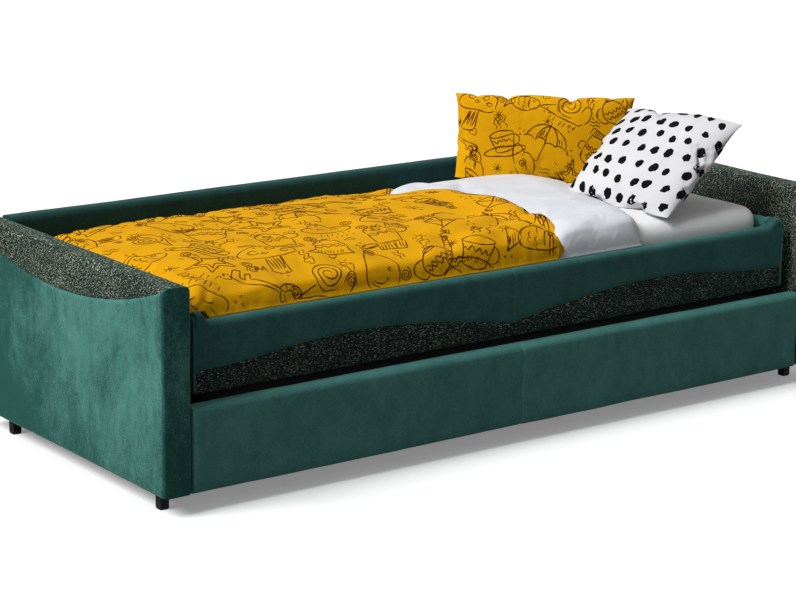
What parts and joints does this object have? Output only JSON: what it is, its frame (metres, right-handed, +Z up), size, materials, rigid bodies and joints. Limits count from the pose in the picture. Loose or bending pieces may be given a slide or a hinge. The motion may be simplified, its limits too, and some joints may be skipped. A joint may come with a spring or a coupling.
{
  "type": "single sofa bed",
  "caption": "Single sofa bed with padded arms and back, a boxed sprung bed with duvet and pillows, and a low guest bed on castors that rolls out from under it.",
  "frame": {"origin": "on the floor under the centre of the sofa bed's bounding box, with the guest bed pushed in", "axes": "+X along the bed to its right-hand end as seen from the front, -Y to the front, where the guest bed rolls out, +Z up"},
  "size_m": [2.21, 0.945, 0.7844],
  "materials": {
    "pine": "planed, not varnished",
    "hardboard": "smooth fibreboard",
    "teal_velvet": "brushed short-pile velvet over wadding",
    "tweed": "coarse flecked weave, near black with pale flecks",
    "welt": "velvet over cord",
    "zinc_steel": "zinc plated",
    "foot_black": "black satin lacquer",
    "felt": "matt",
    "beech": "laminated beech, clear lacquer",
    "holder_plastic": "matt",
    "bracket_steel": "black powder coat",
    "foam": "knitted ticking over foam",
    "sheet": "plain light grey cotton",
    "quilt_white": "plain bluish-white cotton",
    "duvet_mustard": "mustard cotton with dark line drawings",
    "print_mustard": "mustard cotton with dark line drawings",
    "dotted_white": "white cotton with black irregular dots",
    "ticking": "charcoal quilted ticking",
    "fork_steel": "grey enamel",
    "wheel_grey": "moulded, matt"
  },
  "bodies": {
    "sofa_bed": {"left_arm_rails": "pine", "left_arm_studs": "pine", "left_arm_panels": "hardboard", "left_arm_velvet_cover": "teal_velvet", "left_arm_tweed_cover": "tweed", "right_arm_rails": "pine", "right_arm_studs": "pine", "right_arm_panels": "hardboard", "right_arm_velvet_cover": "teal_velvet", "right_arm_tweed_cover": "tweed", "back_rails": "pine", "back_studs": "pine", "back_panels": "hardboard", "back_cover": "teal_velvet", "back_joint_rods": "zinc_steel", "feet": "foot_black", "foot_glides": "felt", "foot_bolts": "zinc_steel", "box_front_board": "pine", "box_front_velvet": "teal_velvet", "box_front_tweed": "tweed", "box_left_end_board": "pine", "box_left_end_cover": "teal_velvet", "box_right_end_board": "pine", "box_right_end_cover": "teal_velvet", "box_corner_welts": "welt", "box_rear_rail": "pine", "box_joint_rods": "zinc_steel", "slat_battens": "pine", "slat_holders": "holder_plastic", "sprung_slats": "beech", "left_box_brackets": "bracket_steel", "right_box_brackets": "bracket_steel", "bracket_bolts": "zinc_steel", "mattress": "foam", "fitted_sheet": "sheet", "white_quilt": "quilt_white", "duvet": "duvet_mustard", "print_pillow": "print_mustard", "dotted_pillow": "dotted_white"},
    "guest_bed": {"trundle_front_board": "pine", "trundle_front_cover": "teal_velvet", "trundle_left_rail": "pine", "trundle_right_rail": "pine", "trundle_front_rail": "pine", "trundle_rear_rail": "pine", "trundle_corner_brackets": "bracket_steel", "trundle_guides": "holder_plastic", "trundle_front_bolts": "zinc_steel", "guest_slats": "beech", "guest_mattress": "ticking", "castor_forks": "fork_steel", "castor_axles": "zinc_steel"},
    "front_left_wheel": {"front_left_wheel": "wheel_grey"},
    "front_right_wheel": {"front_right_wheel": "wheel_grey"},
    "rear_left_wheel": {"rear_left_wheel": "wheel_grey"},
    "rear_right_wheel": {"rear_right_wheel": "wheel_grey"}
  },
  "joints": [
    {"name": "guest_bed_slide", "type": "slide", "parent": "sofa_bed", "child": "guest_bed", "axis": [0, -1, 0], "range_m": [0, 0.8]},
    {"name": "front_left_wheel_spin", "type": "hinge", "parent": "guest_bed", "child": "front_left_wheel", "pos_m": [-0.99, -0.2745, 0.025], "axis": [1, 0, 0], "continuous": true},
    {"name": "front_right_wheel_spin", "type": "hinge", "parent": "guest_bed", "child": "front_right_wheel", "pos_m": [0.99, -0.2745, 0.025], "axis": [1, 0, 0], "continuous": true},
    {"name": "rear_left_wheel_spin", "type": "hinge", "parent": "guest_bed", "child": "rear_left_wheel", "pos_m": [-0.99, 0.2445, 0.025], "axis": [1, 0, 0], "continuous": true},
    {"name": "rear_right_wheel_spin", "type": "hinge", "parent": "guest_bed", "child": "rear_right_wheel", "pos_m": [0.99, 0.2445, 0.025], "axis": [1, 0, 0], "continuous": true}
  ],
  "couplings": [
    {"joint": "front_left_wheel_spin", "follows": "guest_bed_slide", "rad_per_m": 40},
    {"joint": "front_right_wheel_spin", "follows": "guest_bed_slide", "rad_per_m": 40},
    {"joint": "rear_left_wheel_spin", "follows": "guest_bed_slide", "rad_per_m": 40},
    {"joint": "rear_right_wheel_spin", "follows": "guest_bed_slide", "rad_per_m": 40}
  ]
}
